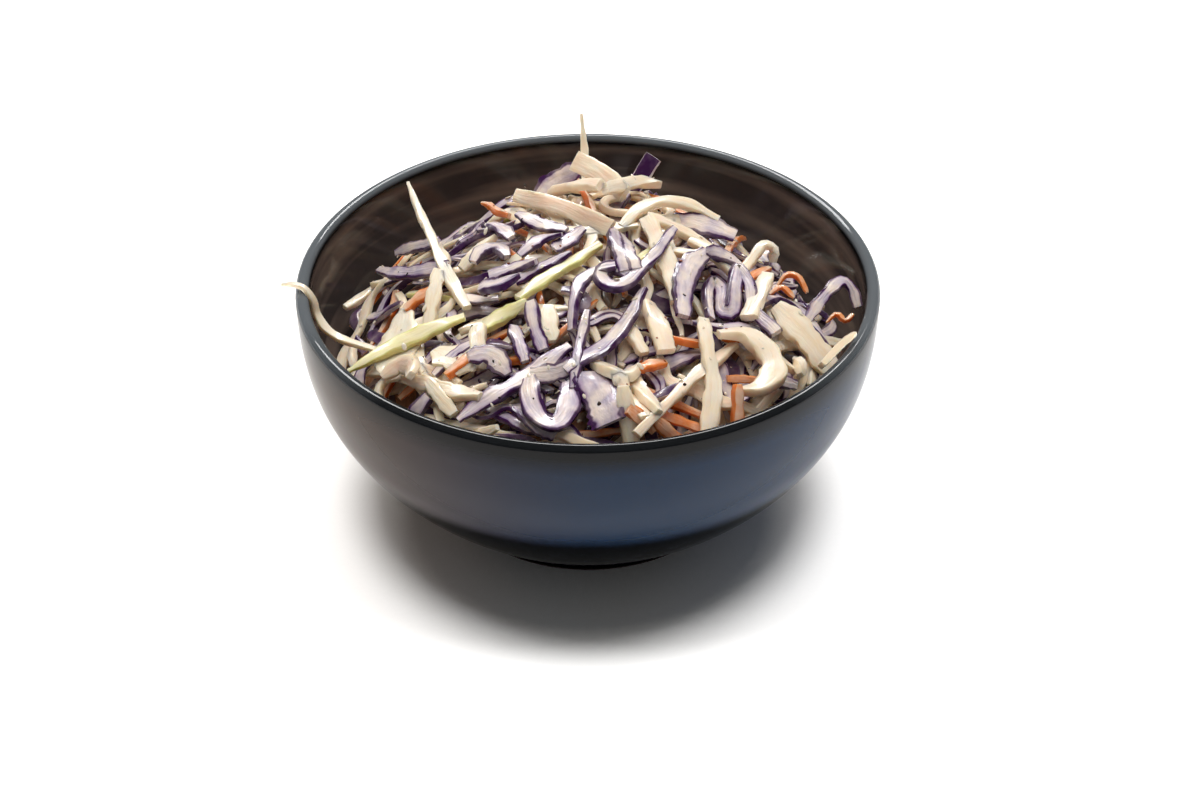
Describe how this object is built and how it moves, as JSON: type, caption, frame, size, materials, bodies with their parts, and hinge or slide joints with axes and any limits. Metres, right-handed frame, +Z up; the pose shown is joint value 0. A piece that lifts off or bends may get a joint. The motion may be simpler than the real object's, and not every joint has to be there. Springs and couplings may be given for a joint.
{
  "type": "coleslaw in a bowl",
  "caption": "Heap of shredded red and white cabbage and carrot in a creamy dressing, served in a round glazed bowl on a foot ring.",
  "frame": {"origin": "centre of the foot ring's underside, on the surface that the bowl stands on", "axes": "+Z up, along the bowl's axis; +Y towards the back, where the slaw is lowest; +X to the right seen from the front"},
  "size_m": [0.14, 0.14, 0.0816],
  "materials": {
    "glaze": "black gloss glaze",
    "slaw": "wet, dressed shreds in cream, purple and orange"
  },
  "bodies": {
    "root": {"bowl": "glaze", "coleslaw": "slaw"}
  },
  "joints": []
}
